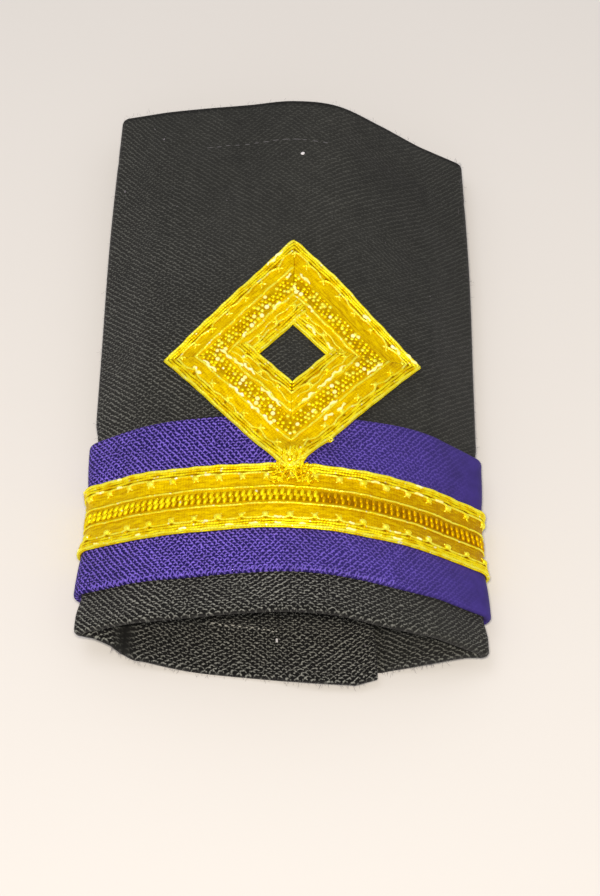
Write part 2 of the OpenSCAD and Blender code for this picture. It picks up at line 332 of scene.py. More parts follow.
# The lace is stiff, so it starts to rise well before it reaches the band
BAND_CLIMB_RUN = 11.0


def diamond_point(a, s, high):
    """Point of the diamond at a across and s along, high above its underside"""
    guess = column_at(front_columns, FRONT_REACH, s / SLEEVE_L, a)
    wide, narrow = read_edge(wide_edge, guess), read_edge(narrow_edge, guess)
    column = column_at(front_columns, FRONT_REACH, (s - wide) / (narrow - wide), a)
    wide, narrow = read_edge(wide_edge, column), read_edge(narrow_edge, column)
    on_band = ease((BAND_TO + BAND_FLARE + CLIMB_LEVEL + BAND_CLIMB_RUN - s) / BAND_CLIMB_RUN)
    on_stripe = ease((STRIPE_TO + CLIMB_LEVEL + CLIMB_RUN - s) / CLIMB_RUN)
    off = DIAMOND_OUT + on_band * (BAND_T + LAYER_GAP) + on_stripe * (LACE_T + LAYER_GAP) + high
    return cloth_point((s - wide) / (narrow - wide), column, off)


def stripe_point(a, q, high):
    """Point of the stripe at a along the lace and q across it from its near edge"""
    t = (STRIPE_FROM + q) / SLEEVE_L
    return cloth_point(t, column_at(stripe_columns, STRIPE_REACH, t, a), STRIPE_OUT + high)


def front_point(a, s, high):
    """Point on the outside of the front, high above the cloth"""
    t = s / SLEEVE_L
    return cloth_point(t, column_at(front_columns, FRONT_REACH, t, a), CLOTH_T / 2 + high)


# Meshes are gathered from bits: rows of points, faces of three or four corners, places on the cloth
def tube_faces(rows, around):
    """Faces of a closed tube of rows of points, with caps whose opposite points are joined"""
    r = np.arange(rows - 1)[:, None]
    c = np.arange(around)[None, :]
    after = (c + 1) % around
    sides = np.stack([r * around + c, r * around + after, (r + 1) * around + after, (r + 1) * around + c], -1)
    k = np.arange(around // 2 - 1)
    cap = np.stack([k, k + 1, around - 2 - k, around - 1 - k], -1)
    return np.concatenate([sides.reshape(-1, 4), cap, cap[:, ::-1] + (rows - 1) * around])


class Bits:
    def __init__(self):
        self.points, self.faces, self.places, self.finishes, self.count = [], [], [], [], 0

    def add(self, points, faces, places, finish=0):
        self.points.append(points.reshape(-1, 3))
        self.faces.append(np.where(faces < 0, -1, faces + self.count))
        self.places.append(places.reshape(-1, 2))
        self.finishes.append(np.full(len(faces), finish))
        self.count += points.size // 3

    def piece(self, name, materials):
        """Make the mesh, in metres, its places as a UV map in millimetres, faces turned outwards"""
        points, faces = np.concatenate(self.points) * MM, np.concatenate(self.faces)
        places, finishes = np.concatenate(self.places), np.concatenate(self.finishes)
        corners = faces >= 0
        mesh = bpy.data.meshes.new(name)
        mesh.vertices.add(len(points))
        mesh.vertices.foreach_set("co", points.ravel())
        loops, sizes = faces[corners], corners.sum(1)
        mesh.loops.add(len(loops))
        mesh.loops.foreach_set("vertex_index", loops)
        mesh.polygons.add(len(faces))
        mesh.polygons.foreach_set("loop_start", np.concatenate([[0], np.cumsum(sizes)[:-1]]))
        mesh.polygons.foreach_set("material_index", finishes)
        mesh.polygons.foreach_set("use_smooth", np.ones(len(faces), bool))
        mesh.update(calc_edges=True)
        uv = mesh.uv_layers.new(name="cloth")
        uv.data.foreach_set("uv", places[loops].ravel())
        for material in materials:
            mesh.materials.append(material)
        piece = bpy.data.objects.new(name, mesh)
        bpy.context.scene.collection.objects.link(piece)
        bpy.ops.object.select_all(action="DESELECT")
        bpy.context.view_layer.objects.active = piece
        piece.select_set(True)
        bpy.ops.object.mode_set(mode="EDIT")
        bpy.ops.mesh.select_all(action="SELECT")
        bpy.ops.mesh.normals_make_consistent(inside=False)
        bpy.ops.object.mode_set(mode="OBJECT")
        piece.select_set(False)
        return piece


def threads(bits, place, p, q, high, radius, sides=6, twist=0.0, pitch=1.2, finish=0):
    """Round threads, one or a row of them, along p, q and height, laid on the cloth by place"""
    paths = np.stack(np.broadcast_arrays(p, q, high), -1)
    paths = paths[None] if paths.ndim == 2 else paths
    many, steps = paths.shape[:2]
    ahead = np.gradient(paths, axis=1)
    length = length_along(paths)
    ahead /= np.linalg.norm(ahead, axis=2, keepdims=True) + 1e-9
    side = np.cross([0.0, 0.0, 1.0], ahead)
    side /= np.linalg.norm(side, axis=2, keepdims=True) + 1e-9
    up = np.cross(ahead, side)
    round_by = np.arange(sides) / sides * TURN
    thick = np.broadcast_to(np.asarray(radius, float), (many, steps)).copy()
    thick[:, [0, -1]] *= 0.4
    ring = thick[..., None] * (1 + twist * np.cos(2 * round_by - TURN * length[..., None] / pitch))
    points = (paths[:, :, None] + ring[..., None] * (np.cos(round_by)[:, None] * side[:, :, None]
                                                     + np.sin(round_by)[:, None] * up[:, :, None]))
    points = place(points[..., 0], points[..., 1], points[..., 2])
    places = np.stack(np.broadcast_arrays(length[..., None], round_by / TURN), -1)
    faces = (tube_faces(steps, sides)[None]
             + (np.arange(many) * steps * sides)[:, None, None]).reshape(-1, 4)
    bits.add(points, faces, places, finish)


def shaped_grain(size, flatten):
    """One small grain, rounded above and flatter below, as points and faces"""
    bpy.ops.object.select_all(action="DESELECT")
    bpy.ops.mesh.primitive_uv_sphere_add(segments=8, ring_count=6, radius=1)
    grain = bpy.context.object
    bpy.ops.object.mode_set(mode="EDIT")
    bpy.ops.mesh.select_all(action="SELECT")
    bpy.ops.transform.rotate(value=math.pi / 2, orient_axis="X", center_override=(0, 0, 0))
    bpy.ops.transform.resize(value=size, center_override=(0, 0, 0))
    bpy.ops.object.mode_set(mode="OBJECT")
    points = np.array([v.co for v in grain.data.vertices])
    points[:, 2] = np.where(points[:, 2] < 0, points[:, 2] * flatten, points[:, 2])
    faces = np.array([list(f.vertices) + [-1] * (4 - len(f.vertices)) for f in grain.data.polygons])
    bpy.data.objects.remove(grain)
    return points, faces


def strew(bits, place, grain, p, q, high, turn, scale, finish):
    """Copies of one grain at places p, each turned and sized, laid on the cloth by place"""
    points, faces = grain
    p, q, high, turn, scale = (np.broadcast_to(v, len(p))[:, None] for v in (p, q, high, turn, scale))
    across = (points[:, 0] * np.cos(turn) - points[:, 1] * np.sin(turn)) * scale + p
    along = (points[:, 0] * np.sin(turn) + points[:, 1] * np.cos(turn)) * scale + q
    shift = (np.arange(len(p)) * len(points))[:, None, None]
    faces = np.where(faces < 0, -1, faces[None] + shift).reshape(-1, 4)
    bits.add(place(across, along, points[:, 2] * scale + high), faces, np.stack([across, along], -1), finish)


# Colours are sRGB hex values
def linear(hex_colour):
    parts = [int(hex_colour[i:i + 2], 16) / 255 for i in (1, 3, 5)]
    return [c / 12.92 if c <= 0.04045 else ((c + 0.055) / 1.055) ** 2.4 for c in parts] + [1.0]


def add_node(tree, kind, inputs=(), operation=None, **settings):
    """Add a node with its settings; its inputs are values or links, in order or by name or number"""
    made = tree.nodes.new("ShaderNode" + kind)
    if operation:
        made.operation = operation
    for name, value in settings.items():
        setattr(made, name, value)
    for name, value in dict(inputs if isinstance(inputs, dict) else enumerate(inputs)).items():
        if isinstance(value, bpy.types.Node):
            value = value.outputs[0]
        if isinstance(value, bpy.types.NodeSocket):
            tree.links.new(value, made.inputs[name])
        else:
            made.inputs[name].default_value = value
    return made


def new_material(name):
    """An empty material, and add_node for its own tree"""
    material = bpy.data.materials.new(name)
    material.use_nodes = True
    material.node_tree.nodes.clear()
    return material, partial(add_node, material.node_tree)


# Woollen twill: matt, two crossing families of light thread over dark gaps, at the photo's own spacing
def twill(name, dark, light, across, along, calm, calm_cover, thin, sheen_colour, depth):
    """across and along are a family's lines to the millimetre. calm(add, a, s) gives how strongly the
    light threads show and how much painted shade darkens a crease or rim, each from 0 to 1. Where they
    don't show, calm_cover of the surface is light thread; a higher thin draws thinner threads"""
    material, add = new_material(name)
    place = add("UVMap", uv_map="cloth")
    wander = add("TexNoise", {"Vector": place, "Scale": 0.9, "Detail": 2.0}, noise_dimensions="2D")
    pull = add("VectorMath", [wander.outputs["Color"], (0.5, 0.5, 0.0), place], "MULTIPLY_ADD")
    a, s = add("SeparateXYZ", [pull]).outputs[:2]
    # Painted highlight: the family that catches the light is drawn stronger; the one that rises to the right
    # is weaker in patches, and more so at the right
    drift = add("TexNoise", {"Vector": place, "Scale": 0.11, "Detail": 1.0}, noise_dimensions="2D")
    turned = add("Math", [add("Math", [a, 0.05], "MULTIPLY")], "SINE")
    side = add("Math", [turned, 0.45, -0.4], "MULTIPLY_ADD")
    side = add("Math", [drift, 1.8, side], "MULTIPLY_ADD", use_clamp=True)
    along_s = add("Math", [s, along * TURN], "MULTIPLY")
    families = []
    for way in (1, -1):
        line = add("Math", [a, way * across * TURN, along_s], "MULTIPLY_ADD")
        raised = add("Math", [add("Math", [line], "SINE"), 0.5, 0.5], "MULTIPLY_ADD")
        strong = add("Math", [side, -0.3 * way, 0.85 + 0.15 * way], "MULTIPLY_ADD")
        families.append(add("Math", [raised, strong], "MULTIPLY"))
    both = add("Math", families + [0.15], "SMOOTH_MAX")
    # Fibres and the rows of weft break the lines up
    fibres = add("TexNoise", {"Vector": place, "Scale": 3.6, "Detail": 2.0, "Roughness": 0.7},
                 noise_dimensions="2D")
    pick = add("Math", [add("Math", [along_s, 2.0], "MULTIPLY")], "SINE")
    broken = add("Math", [pick, 0.15, -0.7], "MULTIPLY_ADD")
    broken = add("Math", [fibres, 1.4, broken], "MULTIPLY_ADD")
    height = add("Math", [both, broken], "ADD")
    shown = add("MapRange", {"Value": height, "From Min": thin, "From Max": thin + 0.55},
                interpolation_type="SMOOTHSTEP")
    # pressed is painted shade: how much a crease or rim is darkened
    strength, pressed = calm(add, a, s)
    cover = add("Math", [shown, calm_cover], "SUBTRACT")
    cover = add("Math", [cover, strength, calm_cover], "MULTIPLY_ADD")
    colour = add("Mix", {0: cover, 6: linear(dark), 7: linear(light)}, data_type="RGBA").outputs[2]
    value = 0.5
    for scale, detail in ((0.55, 2.0), (0.09, 3.0)):
        rubbed = add("TexNoise", {"Vector": place, "Scale": scale, "Detail": detail}, noise_dimensions="2D")
        value = add("Math", [rubbed, 0.5, value], "MULTIPLY_ADD")
    # Painted shade: the tone is darkened at creases and rims
    value = add("Math", [value, add("Math", [1.0, pressed], "SUBTRACT")], "MULTIPLY")
    colour = add("HueSaturation", {"Value": value, "Color": colour})
    relief = add("Math", [height, strength], "MULTIPLY")
    bump = add("Bump", {"Strength": 1.0, "Distance": depth * MM, "Height": relief})
    add("OutputMaterial", [add("BsdfPrincipled", {
        "Base Color": colour, "Roughness": 0.85, "IOR": 1.5, "Specular IOR Level": 0.25, "Sheen Weight": 0.08,
        "Sheen Roughness": 0.45, "Sheen Tint": linear(sheen_colour), "Normal": bump})])
    return material


# Metallised gold thread: polyester wrapped in gold foil, bright yellow; its brighter patches are partly
# painted highlight and its paler spots are painted glints
def gold_thread(name, dull, bright, painted_glint_colour, roughness, twist_pitch, twist_deep, glint_from, metallic=0.45):
    material, add = new_material(name)
    where = add("TexCoord").outputs["Object"]
    # Patches of duller and brighter tone, partly painted highlight
    patches = add("TexNoise", {"Vector": where, "Scale": 900.0, "Detail": 2.0})
    patchy = add("MapRange", {"Value": patches, "From Min": 0.32, "From Max": 0.62},
                 interpolation_type="SMOOTHSTEP")
    tone = add("Mix", {0: patchy, 6: linear(dull), 7: linear(bright)}, data_type="RGBA").outputs[2]
    # Painted glints: pale spots in the glint colour
    glint_noise = add("TexNoise", {"Vector": where, "Scale": 1500.0, "Detail": 1.0})
    glint_spots = add("MapRange", {"Value": glint_noise, "From Min": glint_from, "From Max": glint_from + 0.1},
                interpolation_type="SMOOTHSTEP")
    colour = add("Mix", {0: glint_spots, 6: tone, 7: linear(painted_glint_colour)}, data_type="RGBA").outputs[2]
    length, turn = add("SeparateXYZ", [add("UVMap", uv_map="cloth")]).outputs[:2]
    wraps = add("Math", [length, TURN / twist_pitch], "MULTIPLY")
    wraps = add("Math", [turn, TURN, wraps], "MULTIPLY_ADD")
    ply = add("Math", [wraps], "SINE")
    bump = add("Bump", {"Strength": 0.7, "Distance": twist_deep * MM, "Height": ply})
    add("OutputMaterial", [add("BsdfPrincipled", {
        "Base Color": colour, "Metallic": metallic, "Roughness": roughness,
        "Specular Tint": linear(bright), "Normal": bump})])
    return material


# Ribbon ground: gold weft over a yellow warp in fine ribs, with painted shade where it lies low under the
# braid and the cords
def gold_ground(name, ribs, braid_edge, braid_shade, shade_from):
    """ribs is how strongly the cross ribs show; painted shade darkens the ground by braid_shade under the
    braid and past shade_from along the lace"""
    material, add = new_material(name)
    place = add("UVMap", uv_map="cloth")
    p, q = add("SeparateXYZ", [place]).outputs[:2]
    # Real ribs lie about 0.2 mm apart; drawn at 0.4 mm so that they show
    uneven = add("TexNoise", {"Vector": place, "Scale": 1.7, "Detail": 3.0, "Roughness": 0.7},
                 noise_dimensions="2D")
    phase = add("Math", [p, TURN / 0.4], "MULTIPLY")
    rib = add("Math", [add("Math", [uneven, 6.0, phase], "MULTIPLY_ADD")], "SINE")
    drawn = add("VectorMath", [place, (0.12, 0.5, 1.0)], "MULTIPLY")
    fine = add("TexNoise", {"Vector": drawn, "Scale": 4.5, "Detail": 3.0, "Roughness": 0.8},
               noise_dimensions="2D")
    # Painted shade: past this place along the lace the ground darkens, toward the stripe's right end
    painted_shade_along = add("Math", [p, 0.018, -0.018 * shade_from], "MULTIPLY_ADD", use_clamp=True)
    tone = add("Math", [rib, 0.12 * ribs, -0.6], "MULTIPLY_ADD")
    tone = add("Math", [fine, 2.4, tone], "MULTIPLY_ADD")
    tone = add("Math", [tone, painted_shade_along], "SUBTRACT", use_clamp=True)
    colour = add("Mix", {0: tone, 6: linear("#bc8c00"), 7: linear("#f2d200")}, data_type="RGBA").outputs[2]
    # Painted shade in the sunken places: under the braid and the cords, at the knots and beside the ridges
    middle = add("Math", [add("Math", [q, LACE_W / 2], "SUBTRACT")], "ABSOLUTE")
    braid = add("Math", [middle, -4.0, 1 - braid_edge], "MULTIPLY_ADD", use_clamp=True)
    braid = add("Math", [braid, braid_shade], "MULTIPLY")
    cords = add("Math", [middle, 6.0, -6.0 * (LACE_W / 2 - 1.3)], "MULTIPLY_ADD", use_clamp=True)
    cords = add("Math", [cords, 0.6], "MULTIPLY")
    knot_x = add("Math", [p, KNOT_STEP / 2 - KNOT_FIRST], "ADD")
    knot_x = add("Math", [knot_x, KNOT_STEP / 2], "PINGPONG")
    knot_x = add("Math", [knot_x, KNOT_STEP / 2], "SUBTRACT")
    knot_y = add("Math", [middle, LACE_W / 2 - COUCH_AT + 0.1], "SUBTRACT")
    apart = add("Math", [knot_x, knot_x], "MULTIPLY")
    apart = add("Math", [knot_y, knot_y, apart], "MULTIPLY_ADD")
    holes = add("Math", [apart, -9.0, 1.0], "MULTIPLY_ADD", use_clamp=True)
    beside = add("Math", [middle, LACE_W / 2 - RIDGE_AT], "SUBTRACT")
    beside = add("Math", [add("Math", [beside], "ABSOLUTE"), 0.26], "SUBTRACT")
    beside = add("Math", [add("Math", [beside], "ABSOLUTE"), -6.0, 0.6], "MULTIPLY_ADD", use_clamp=True)
    painted_recess_shade = braid
    for other in (cords, holes, beside):
        painted_recess_shade = add("Math", [painted_recess_shade, other], "MAXIMUM")
    painted_recess_shade = add("Math", [painted_recess_shade, 0.9], "MULTIPLY")
    colour = add("Mix", {0: painted_recess_shade, 6: colour, 7: linear("#8c6000")}, data_type="RGBA").outputs[2]
    relief = add("Math", [rib, 0.5 * ribs], "MULTIPLY")
    relief = add("Math", [fine, 1.5, relief], "MULTIPLY_ADD")
    bump = add("Bump", {"Strength": 0.7, "Distance": 0.07 * MM, "Height": relief})
    add("OutputMaterial", [add("BsdfPrincipled", {
        "Base Color": colour, "Metallic": 0.35, "Roughness": 0.5, "Specular Tint": linear("#f6dc00"),
        "Normal": bump})])
    return material


# Sewing thread and loose fibre: matt, slightly uneven in tone
def plain_thread(name, colour, roughness):
    material, add = new_material(name)
    uneven = add("TexNoise", {"Vector": add("TexCoord").outputs["Object"], "Scale": 1200.0, "Detail": 1.0})
    tone = add("Math", [uneven, 0.6, 0.7], "MULTIPLY_ADD")
    shade = add("HueSaturation", {"Value": tone, "Color": linear(colour)})
    add("OutputMaterial", [add("BsdfPrincipled", {
        "Base Color": shade, "Roughness": roughness, "IOR": 1.5, "Sheen Weight": 0.2})])
    return material


# Camera as the photograph was taken: from above the near side, a little turned
AIM = Vector((2.0, -10.18, 5.0)) * MM
AZIMUTH, ELEVATION, ROLL, DISTANCE = math.radians(1.2), math.radians(60), math.radians(2.4), 0.4224
ahead = Vector((math.sin(AZIMUTH) * math.cos(ELEVATION), math.cos(AZIMUTH) * math.cos(ELEVATION),
                -math.sin(ELEVATION)))
level = Vector((math.cos(AZIMUTH), -math.sin(AZIMUTH), 0))
upward = level.cross(ahead)
cam_right = level * math.cos(ROLL) + upward * math.sin(ROLL)
cam_up = upward * math.cos(ROLL) - level * math.sin(ROLL)
camera = bpy.data.objects.new("camera", bpy.data.cameras.new("camera"))
camera.data.lens = 120
camera.data.sensor_width = 36
camera.data.clip_start, camera.data.clip_end = 0.01, 20
camera.matrix_world = Matrix.Translation(AIM - ahead * DISTANCE) @ Matrix(
    (cam_right, cam_up, -ahead)).transposed().to_4x4()
bpy.context.scene.collection.objects.link(camera)
bpy.context.scene.camera = camera
bpy.context.scene.view_settings.view_transform = "Standard"

# Plain pale table
bpy.ops.object.select_all(action="DESELECT")
bpy.ops.mesh.primitive_plane_add(size=3, location=(0, 0, 0))
floor = bpy.context.object
floor.name = "table"
# Matt painted board: even, with a barely raised grain
paint, add = new_material("painted_table")
grain = add("TexNoise", {"Vector": add("TexCoord").outputs["Object"], "Scale": 300.0, "Detail": 3.0})
speck = add("Bump", {"Strength": 0.15, "Distance": 0.1 * MM, "Height": grain})
add("OutputMaterial", [add("BsdfPrincipled", {
    "Base Color": linear("#dddbd9"), "Roughness": 0.6, "Specular IOR Level": 0.2, "Normal": speck})])
floor.data.materials.append(paint)


# Soft studio light: a warm lamp beside the camera, a broad weak one overhead, pale surroundings
def lamp(name, place, size, power, colour):
    light = bpy.data.lights.new(name, "AREA")
    light.shape, light.size, light.energy, light.color = "DISK", size, power, linear(colour)[:3]
    lit = bpy.data.objects.new(name, light)
    lit.location = place
    lit.rotation_euler = (Vector((0, -0.01, 0)) - Vector(place)).to_track_quat("-Z", "Y").to_euler()
    bpy.context.scene.collection.objects.link(lit)


lamp("key", (-0.008, -0.21, 0.385), 0.05, 1.55, "#fff3e2")
lamp("overhead", (-0.25, 0.1, 0.9), 0.5, 1.2, "#f2f3ff")
world = bpy.data.worlds.new("pale_room")
world.use_nodes = True
world.node_tree.nodes["Background"].inputs[0].default_value = linear("#fafafd")
world.node_tree.nodes["Background"].inputs[1].default_value = 0.43
bpy.context.scene.world = world


# Black barathea: near-black gaps and grey-olive light threads, partly painted sheen, strongest near the wide
# mouth
def black_calm(add, a, s):
    # Fades to the right on the front, and comes back inside the right of the mouth
    right = add("Math", [a, -0.045, 1.3], "MULTIPLY_ADD", use_clamp=True)
    right = add("Math", [right, 0.32], "MAXIMUM")
    right = add("Math", [right, add("Math", [a, 0.015], "MULTIPLY")], "MAXIMUM")
    near = add("Math", [s, -0.05, 1.25], "MULTIPLY_ADD", use_clamp=True)
    near = add("Math", [right, near], "MULTIPLY")
    left = add("Math", [s, -0.007, 0.5], "MULTIPLY_ADD")
    left = add("Math", [a, -0.010, left], "MULTIPLY_ADD")
    left = add("Math", [left, 0.13], "MAXIMUM")
    lip = add("Math", [s, 2.5], "MULTIPLY", use_clamp=True)
    shown = add("Math", [add("Math", [near, left], "MAXIMUM"), lip], "MULTIPLY")
    # Painted shade: the crease inside the mouth loses its threads and is darkened, and so is the far rim
    crease = add("Math", [add("Math", [a, crease_a], "SUBTRACT")], "ABSOLUTE")
    crease = add("Math", [crease, -0.6, 1.0], "MULTIPLY_ADD", use_clamp=True)
    crease_near = add("Math", [s, -0.4, 2.6], "MULTIPLY_ADD", use_clamp=True)
    crease = add("Math", [crease, crease_near], "MULTIPLY")
    rim = add("Math", [s, 1.4, -1.4 * (SLEEVE_L - 0.9)], "MULTIPLY_ADD", use_clamp=True)
    shown = add("Math", [shown, add("Math", [1.0, crease], "SUBTRACT")], "MULTIPLY")
    return shown, add("Math", [add("Math", [crease, rim], "MAXIMUM"), 0.8], "MULTIPLY")


# Purple barathea: violet threads over deep blue gaps, crisp at the left and nearly plain at the right
def purple_calm(add, a, s):
    return add("Math", [a, -0.028, 0.8], "MULTIPLY_ADD", use_clamp=True), 0.0


black = twill("black_barathea", "#030303", "#8e908a", 0.92, 1.28, black_calm, 0.086, 0.62, "#b7b2bd", 0.18)
purple = twill("purple_barathea", "#0e0252", "#846ce2", 1.28, 1.17, purple_calm, 0.165, 0.5, "#a796e8", 0.14)
# Gold foil in five brightnesses: edge cords, braid, painted glints, couching and ridges, and a darker gold
# that is painted shade on the braid's right end and is also in some tip stitches
cord_gold = gold_thread("gold_foil_cord", "#e6c000", "#fff01e", "#fff9c0", 0.33, 0.42, 0.012, 0.68)
braid_gold = gold_thread("gold_foil_braid", "#e0b800", "#ffec14", "#fffbd0", 0.3, 0.5, 0.012, 0.72)
# Painted glints: a pale, matt gold for the bits of foil put where the lace glints
painted_glint_gold = gold_thread("painted_glint_gold_foil", "#fff27a", "#fffbb0", "#fffde0", 0.25, 0.5, 0.01, 0.6, 0.0)
bright_gold = gold_thread("bright_gold_foil", "#ffea14", "#fff850", "#fffcc0", 0.26, 0.5, 0.012, 0.66)
# A darker gold: painted shade on the stripe's braid toward its right end; some tip stitches take it too
amber_gold = gold_thread("dark_gold_foil", "#b88400", "#e2b400", "#fff080", 0.4, 0.5, 0.01, 0.74)
lace_threads = [cord_gold, braid_gold, painted_glint_gold, bright_gold, amber_gold]
CORD, BRAID, PAINTED_GLINT, BRIGHT, DARK_GOLD = range(5)
# The stripe's ground takes painted shade past 34 mm along it
stripe_ground = gold_ground("gold_ribbon_ground", 0.3, -3.0, 0.9, 34.0)
diamond_ground = gold_ground("smooth_gold_ribbon_ground", 0.25, -3.4, 0.55, 200.0)
# Spun sewing threads, lint and wool fuzz: matt greys
purple_yarn = plain_thread("purple_yarn", "#6851c2", 0.8)
grey_thread = plain_thread("grey_sewing_thread", "#626166", 0.7)
# Painted light: a paler copy of the sewing thread, for the stitches in the shade inside the mouth
painted_light_thread = plain_thread("painted_light_sewing_thread", "#b2b2aa", 0.7)
lint_white = plain_thread("white_lint", "#dad8dc", 0.8)
fuzz_grey = plain_thread("wool_fuzz", "#6c6870", 0.9)


# A sheet with rounded edges, all of one closed skin
def skin(bits, place, first, last, s_from, s_to, over, under, step, end_round):
    """place(s, column, off) lays it; over and under give its two faces at s and a column"""
    scale = [np.hypot(*(g[ROWS // 3, int(c) + 1] - g[ROWS // 3, int(c)] for g in (rib_x, rib_z)))
             for c in (first, last - 1)]
    turns = np.array([0.12, 0.5, 0.95, math.pi / 2])
    inset = end_round * (1 - np.cos(turns))
    inner = np.arange(math.ceil(first + end_round / scale[0] + 0.3),
                      math.floor(last - end_round / scale[1] - 0.3) + 1)
    columns = np.concatenate([first + inset / scale[0], inner, (last - inset / scale[1])[::-1]])
    shares = np.concatenate([np.sin(turns), np.ones(len(inner)), np.sin(turns)[::-1]])
    arc_steps = np.linspace(0, math.pi, 8)[1:-1]
    count = int(round((s_to(columns).mean() - s_from(columns).mean()) / step))
    f = np.linspace(0, 1, count + 1)
    points, along = [], []

    def middle_at(s, column):
        return (over(s, column) + under(s, column)) / 2
    for column, share in zip(columns, shares):
        near, far = s_from(column), s_to(column)
        near_r, far_r = ((over(s, column) - under(s, column)) / 2 for s in (near, far))
        near_mid, far_mid = middle_at(near, column), middle_at(far, column)
        s = mix(near + near_r, far - far_r, f)
        back = s[::-1]
        loop_s = np.concatenate([s, far - far_r + far_r * np.sin(arc_steps), back,
                                 near + near_r - near_r * np.sin(arc_steps)])
        middle = np.concatenate([middle_at(s, column), far_mid + 0 * arc_steps,
                                 middle_at(back, column), near_mid + 0 * arc_steps])
        off = np.concatenate([over(s, column), far_mid + far_r * np.cos(arc_steps),
                              under(back, column), near_mid - near_r * np.cos(arc_steps)])
        points.append(place(loop_s, np.full(len(loop_s), column), middle + (off - middle) * share))
        along.append(loop_s)
    points = np.array(points)
    rows, around = points.shape[:2]
    # Distance round the cloth from the front's middle, for the weave
    spot = length_along(points[:, count // 2])
    spot -= np.interp(column_at(front_columns, FRONT_REACH, np.array(0.3), np.array(0.0)), columns, spot)
    uv = np.stack(np.broadcast_arrays(spot[:, None], np.array(along)), -1)
    bits.add(points, tube_faces(rows, around), uv)
    return spot[-1] - spot[0]


def laid(s, column, off):
    return cloth_point(s / SLEEVE_L, column, off)


# Black sleeve, its mouths turned in and stitched down
HEM_W, HEM_T = 7.6, 0.3


def sleeve_over(s, column):
    return CLOTH_T / 2 - 0.10 * np.exp(-((s - SLEEVE_L + HEM_W) / 0.35) ** 2)


def sleeve_under(s, column):
    hem = 2 - ease((s - HEM_W) / 0.7) - ease((SLEEVE_L - HEM_W - s) / 0.7)
    return -CLOTH_T / 2 - HEM_T * hem * (1 - ease((column - LAST + 16) / 4))


sleeve_bits = Bits()
sleeve_girth = skin(sleeve_bits, laid, 0, LAST, lambda c: 0.0 * c, lambda c: SLEEVE_L + 0.0 * c,
                    sleeve_over, sleeve_under, 0.75, CLOTH_T / 2)
sleeve = sleeve_bits.piece("black_sleeve", [black])

# Purple band, its edges folded under
band_bits = Bits()
across_mouth = rib_x[0] / half_width(np.array(0.0))
band_girth = skin(band_bits, laid, COLUMN["band"], COLUMN["band_end"], lambda c: BAND_FROM + 0.0 * c,
                  lambda c: BAND_TO + BAND_FLARE * read_edge(across_mouth, c),
                  lambda s, c: BAND_OUT + BAND_T + 0 * s, lambda s, c: BAND_OUT + 0 * s, 0.6, BAND_T / 2)
# Bigger loops of its weft show along the near edge
rng = np.random.default_rng(11)
LOOP_STEP, LOOP_R, LOOPS_FROM, LOOPS_TO = 0.62, 0.12, -27, 15
for a in np.arange(LOOPS_FROM, LOOPS_TO, LOOP_STEP):
    s = BAND_FROM + np.array([0.02, 0.12, 0.4, 0.7, 0.85]) * rng.uniform(0.6, 1.15)
    loop_a = a + rng.normal(0, 0.1) + np.array([0.0, 0.03, 0.1, 0.2, 0.3])
    loop_off = BAND_OUT + BAND_T + np.array([-0.2, 0.0, 0.03, 0.0, -0.12])
    columns = column_at(front_columns, FRONT_REACH, s / SLEEVE_L, loop_a)
    threads(band_bits, laid, s, columns, loop_off, LOOP_R, finish=1)
band = band_bits.piece("purple_cloth_band", [purple, purple_yarn])

# Gold lace: ribbon ground, cords along each edge, a couched row with knots, ridges and a braid
knot = shaped_grain((0.54, 0.42, 0.36), 0.6)
link = shaped_grain((0.31, 0.60, 0.32), 0.8)
bead = shaped_grain((0.31, 0.29, 0.25), 0.8)


def both_sides(at):
    return ((at, 1), (LACE_W - at, -1))


def from_knot(p):
    """Distance along the lace from the nearest knot"""
    return (p - KNOT_FIRST + KNOT_STEP / 2) % KNOT_STEP - KNOT_STEP / 2


def lay_ground(bits, place, ends):
    """The ribbon itself, a closed skin, thin at its edges and dimpled beside each knot"""
    q = np.concatenate([np.linspace(0, 0.3, 4), np.linspace(0.3, LACE_W - 0.3, 34)[1:-1],
                        LACE_W - np.linspace(0.3, 0, 4)])
    start, end = ends(q[None])
    count = max(8, int((end - start).max() / 0.3))
    p = mix(start, end, np.linspace(0, 1, count + 1)[:, None])
    q = np.broadcast_to(q, p.shape)
    edge = np.minimum(q, LACE_W - q)
    high = (0.08 + 0.10 * ease(edge / 0.3) + 0.16 * ease((edge - 1.2) / 0.4)
            - 0.10 * ease((edge - 4.1) / 0.4))
    for at, side in both_sides(COUCH_AT - 0.12):
        high = high - 0.18 * np.exp(-(from_knot(p) ** 2 + (q - at) ** 2) / 0.1)
    points = np.concatenate([place(p, q, high), place(p, q, 0 * p)[:, ::-1]], 1)
    uv = np.stack([p, q], -1)
    bits.add(points, tube_faces(count + 1, points.shape[1]), np.concatenate([uv, uv[:, ::-1]], 1))


